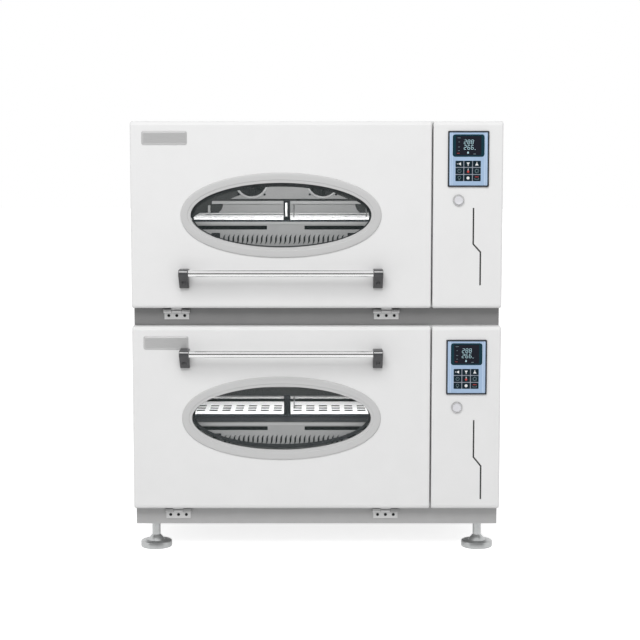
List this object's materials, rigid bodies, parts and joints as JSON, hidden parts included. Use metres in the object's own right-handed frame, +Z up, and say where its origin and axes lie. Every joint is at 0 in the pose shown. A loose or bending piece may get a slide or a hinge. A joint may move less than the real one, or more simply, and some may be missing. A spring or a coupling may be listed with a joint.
{
  "type": "shaking incubator",
  "caption": "Two-tier stacked shaking incubator with drop-down windowed doors, orbiting tables inside, control columns and levelling feet.",
  "frame": {"origin": "floor level, under the middle of the whole stack's box", "axes": "+Z up, fronts with doors and controls face -Y, control columns at +X"},
  "size_m": [0.97, 0.7646, 1.1421],
  "materials": {
    "white_enamel": "white powder coat",
    "plinth_enamel": "satin grey paint",
    "grey_enamel": "satin grey paint",
    "liner_steel": "brushed stainless sheet",
    "machined_steel": "turned and zinc plated",
    "hinge_steel": "satin",
    "bright_aluminium": "bright anodised",
    "cast_iron": "painted casting",
    "dark_plastic": "fine texture",
    "grey_plastic": "satin moulded",
    "blue_film": "printed film",
    "white_tray": "white powder coat",
    "seal_rubber": "matt",
    "window_glass": "clear"
  },
  "bodies": {
    "cabinet": {"foot_front_left": "machined_steel", "foot_front_right": "machined_steel", "foot_rear_left": "machined_steel", "foot_rear_right": "machined_steel", "lower_apron_grille": "grey_enamel", "lower_cabinet_shell": "white_enamel", "lower_chamber_liner": "liner_steel", "lower_control_fascia": "white_enamel", "lower_control_panel": "dark_plastic", "lower_drive_motor": "cast_iron", "lower_duct_panel": "grey_enamel", "lower_heater": "machined_steel", "lower_hinge_leaf_left": "hinge_steel", "lower_hinge_leaf_right": "hinge_steel", "lower_membrane_overlay": "blue_film", "lower_plinth": "plinth_enamel", "upper_apron_grille": "grey_enamel", "upper_cabinet_shell": "white_enamel", "upper_chamber_liner": "liner_steel", "upper_control_fascia": "white_enamel", "upper_control_panel": "dark_plastic", "upper_drive_motor": "cast_iron", "upper_duct_panel": "grey_enamel", "upper_heater": "machined_steel", "upper_hinge_leaf_left": "hinge_steel", "upper_hinge_leaf_right": "hinge_steel", "upper_membrane_overlay": "blue_film", "upper_plinth": "plinth_enamel"},
    "lower_door": {"lower_door_skin": "white_enamel", "lower_door_liner": "liner_steel", "lower_window_trim": "grey_plastic", "lower_window_glass": "window_glass", "lower_door_gasket": "seal_rubber", "lower_handle_bracket_left": "dark_plastic", "lower_handle_bracket_right": "dark_plastic", "lower_handle_rod": "bright_aluminium"},
    "upper_door": {"upper_door_skin": "white_enamel", "upper_door_liner": "liner_steel", "upper_window_trim": "grey_plastic", "upper_window_glass": "window_glass", "upper_door_gasket": "seal_rubber", "upper_handle_bracket_left": "dark_plastic", "upper_handle_bracket_right": "dark_plastic", "upper_handle_rod": "bright_aluminium"},
    "lower_crank": {"lower_drive_crank": "machined_steel"},
    "upper_crank": {"upper_drive_crank": "machined_steel"},
    "lower_idler_crank_left": {"lower_idler_left": "machined_steel"},
    "lower_idler_crank_right": {"lower_idler_right": "machined_steel"},
    "upper_idler_crank_left": {"upper_idler_left": "machined_steel"},
    "upper_idler_crank_right": {"upper_idler_right": "machined_steel"},
    "lower_table": {"lower_platform": "dark_plastic", "lower_tray": "white_tray"},
    "upper_table": {"upper_platform": "dark_plastic", "upper_tray": "white_tray"},
    "lower_fan_wheel_left": {"lower_fan_left": "dark_plastic"},
    "lower_fan_wheel_right": {"lower_fan_right": "dark_plastic"},
    "upper_fan_wheel_left": {"upper_fan_left": "dark_plastic"},
    "upper_fan_wheel_right": {"upper_fan_right": "dark_plastic"},
    "lower_button": {"lower_power_button": "machined_steel"},
    "upper_button": {"upper_power_button": "machined_steel"}
  },
  "joints": [
    {"name": "lower_door_hinge", "type": "hinge", "parent": "cabinet", "child": "lower_door", "pos_m": [-0.09275, -0.29625, 0.107], "axis": [1, 0, 0], "range_deg": [0, 90]},
    {"name": "upper_door_hinge", "type": "hinge", "parent": "cabinet", "child": "upper_door", "pos_m": [-0.09275, -0.29625, 0.6427], "axis": [1, 0, 0], "range_deg": [0, 90]},
    {"name": "lower_drive_turn", "type": "hinge", "parent": "cabinet", "child": "lower_crank", "pos_m": [-0.0865, -0.12775, 0.2513], "axis": [0, 0, 1], "continuous": true},
    {"name": "upper_drive_turn", "type": "hinge", "parent": "cabinet", "child": "upper_crank", "pos_m": [-0.0865, -0.12775, 0.787], "axis": [0, 0, 1], "continuous": true},
    {"name": "lower_table_pivot", "type": "hinge", "parent": "lower_crank", "child": "lower_table", "pos_m": [-0.08101, -0.13953, 0.2693], "axis": [0, 0, 1], "continuous": true},
    {"name": "upper_table_pivot", "type": "hinge", "parent": "upper_crank", "child": "upper_table", "pos_m": [-0.08101, -0.13953, 0.805], "axis": [0, 0, 1], "continuous": true},
    {"name": "lower_idler_left_turn", "type": "hinge", "parent": "cabinet", "child": "lower_idler_crank_left", "pos_m": [-0.3165, 0.07225, 0.2513], "axis": [0, 0, 1], "continuous": true},
    {"name": "lower_idler_right_turn", "type": "hinge", "parent": "cabinet", "child": "lower_idler_crank_right", "pos_m": [0.1435, 0.07225, 0.2513], "axis": [0, 0, 1], "continuous": true},
    {"name": "upper_idler_left_turn", "type": "hinge", "parent": "cabinet", "child": "upper_idler_crank_left", "pos_m": [-0.3165, 0.07225, 0.787], "axis": [0, 0, 1], "continuous": true},
    {"name": "upper_idler_right_turn", "type": "hinge", "parent": "cabinet", "child": "upper_idler_crank_right", "pos_m": [0.1435, 0.07225, 0.787], "axis": [0, 0, 1], "continuous": true},
    {"name": "lower_fan_left_turn", "type": "hinge", "parent": "cabinet", "child": "lower_fan_wheel_left", "pos_m": [-0.1915, 0.28555, 0.4335], "axis": [0, 1, 0], "continuous": true},
    {"name": "lower_fan_right_turn", "type": "hinge", "parent": "cabinet", "child": "lower_fan_wheel_right", "pos_m": [0.0185, 0.28555, 0.4335], "axis": [0, 1, 0], "continuous": true},
    {"name": "upper_fan_left_turn", "type": "hinge", "parent": "cabinet", "child": "upper_fan_wheel_left", "pos_m": [-0.1915, 0.28555, 0.9692], "axis": [0, 1, 0], "continuous": true},
    {"name": "upper_fan_right_turn", "type": "hinge", "parent": "cabinet", "child": "upper_fan_wheel_right", "pos_m": [0.0185, 0.28555, 0.9692], "axis": [0, 1, 0], "continuous": true},
    {"name": "lower_button_press", "type": "slide", "parent": "cabinet", "child": "lower_button", "axis": [0, 1, 0], "range_m": [0, 0.003], "stiffness_N_per_m": 600},
    {"name": "upper_button_press", "type": "slide", "parent": "cabinet", "child": "upper_button", "axis": [0, 1, 0], "range_m": [0, 0.003], "stiffness_N_per_m": 600}
  ],
  "couplings": [
    {"joint": "lower_table_pivot", "follows": "lower_drive_turn", "ratio": -1},
    {"joint": "lower_idler_left_turn", "follows": "lower_drive_turn", "ratio": 1},
    {"joint": "lower_idler_right_turn", "follows": "lower_drive_turn", "ratio": 1},
    {"joint": "upper_table_pivot", "follows": "upper_drive_turn", "ratio": -1},
    {"joint": "upper_idler_left_turn", "follows": "upper_drive_turn", "ratio": 1},
    {"joint": "upper_idler_right_turn", "follows": "upper_drive_turn", "ratio": 1},
    {"joint": "lower_fan_right_turn", "follows": "lower_fan_left_turn", "ratio": 1},
    {"joint": "upper_fan_right_turn", "follows": "upper_fan_left_turn", "ratio": 1}
  ]
}
